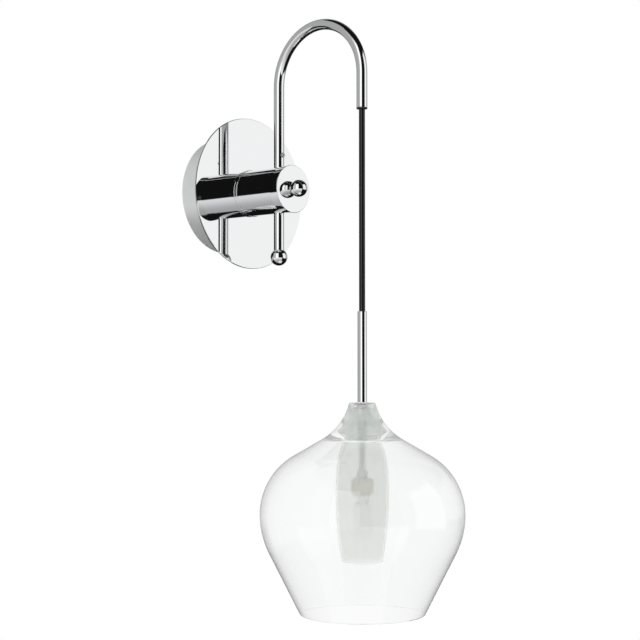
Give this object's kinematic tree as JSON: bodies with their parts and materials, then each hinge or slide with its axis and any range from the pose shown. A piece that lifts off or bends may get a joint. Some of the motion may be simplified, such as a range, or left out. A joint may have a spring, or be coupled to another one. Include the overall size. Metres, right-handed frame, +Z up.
{
  "type": "wall sconce",
  "caption": "Chrome wall sconce: round canopy, boss with ball knob, gooseneck arm and a cord that hangs a stem with a clear glass bell over a frosted inner shade.",
  "frame": {"origin": "centre of the wall bracket's back face, midway between its two fixing slots, on the wall", "axes": "+Y into the wall, +Z up, +X to the right of someone who faces the wall; the lamp stands out along -Y"},
  "size_m": [0.152, 0.223, 0.4499],
  "materials": {
    "chrome": "polished chrome plate, mirror bright",
    "satin_metal": "satin silver-grey paint on spun steel",
    "zinc_steel": "bright zinc-plated steel",
    "brass": "plain turned brass",
    "terminal_plastic": "moulded white nylon",
    "wire_insulation": "wire insulation in brown, blue and green-yellow",
    "nylon": "moulded black nylon",
    "cord_sheath": "smooth black cord sheath, slightly glossy",
    "silicone": "translucent silicone washer",
    "clear_glass": "thick clear blown glass, polished",
    "opal_glass": "satin acid-etched glass, slightly grey-green",
    "ceramic": "glazed beige steatite",
    "bulb_glass": "satin glass capsule with a pressed glass base",
    "bulb_pin": "bright nickel-plated wire"
  },
  "bodies": {
    "root": {"wall_bracket": "zinc_steel", "canopy_screws": "zinc_steel", "earth_screw": "brass", "earth_ring": "brass", "terminal_block": "terminal_plastic", "terminal_screws": "brass", "lead_wires": "wire_insulation", "canopy_drum": "satin_metal", "canopy_disc": "chrome", "boss_base_ring": "chrome", "boss_body": "chrome", "boss_end_cap": "chrome", "boss_nipple": "brass", "boss_washer": "zinc_steel", "boss_nut": "zinc_steel"},
    "clamp_pad": {"clamp_pad": "nylon"},
    "clamp_knob": {"knob_ball": "chrome", "knob_screw": "zinc_steel"},
    "swivel": {"swivel_bushes": "nylon"},
    "arm": {"gooseneck_tube": "chrome", "tube_stop_screw": "zinc_steel", "ball_finial": "chrome", "exit_bush": "nylon", "arm_cord": "cord_sheath"},
    "cord_bend": {"cord_exit_bend": "cord_sheath"},
    "cord": {"pendant_cord": "cord_sheath"},
    "pendant": {"stem_cord": "cord_sheath", "cord_grip": "brass", "core_wires": "wire_insulation", "stem_tube": "chrome", "carrier_tube": "zinc_steel", "neck_gaskets": "silicone", "outer_shade": "clear_glass", "inner_shade": "opal_glass", "clamp_nut": "terminal_plastic", "lock_nut": "zinc_steel", "socket_holder": "zinc_steel", "holder_screws": "zinc_steel", "socket_body": "ceramic", "socket_contacts": "brass"},
    "bulb": {"bulb_base": "bulb_glass", "bulb_glass": "bulb_glass", "bulb_pins": "bulb_pin"}
  },
  "joints": [
    {"name": "pad_slide", "type": "slide", "parent": "root", "child": "clamp_pad", "axis": [0, -1, 0], "range_m": [0, 0.0007]},
    {"name": "knob_turn", "type": "hinge", "parent": "clamp_pad", "child": "clamp_knob", "pos_m": [0, -0.0828, 0], "axis": [0, -1, 0], "range_deg": [0, 360]},
    {"name": "arm_swivel", "type": "hinge", "parent": "root", "child": "swivel", "pos_m": [0, -0.0616, 0], "axis": [0, 0, 1], "range_deg": [-75, 75]},
    {"name": "arm_height", "type": "slide", "parent": "swivel", "child": "arm", "axis": [0, 0, 1], "range_m": [-0.0068, 0.0068]},
    {"name": "swing_fore_aft", "type": "hinge", "parent": "arm", "child": "cord_bend", "pos_m": [0, -0.147, 0.0557], "axis": [1, 0, 0], "range_deg": [-12, 12]},
    {"name": "swing_sideways", "type": "hinge", "parent": "cord_bend", "child": "cord", "pos_m": [0, -0.147, 0.0557], "axis": [0, 1, 0], "range_deg": [-12, 12]},
    {"name": "pendant_twist", "type": "hinge", "parent": "cord", "child": "pendant", "pos_m": [0, -0.147, -0.0974], "axis": [0, 0, 1], "range_deg": [-45, 45], "stiffness_Nm_per_rad": 0.002},
    {"name": "bulb_pull", "type": "slide", "parent": "pendant", "child": "bulb", "axis": [0, 0, -1], "range_m": [0, 0.009]}
  ],
  "couplings": [
    {"joint": "pad_slide", "follows": "knob_turn", "m_per_rad": 0.0001114}
  ]
}
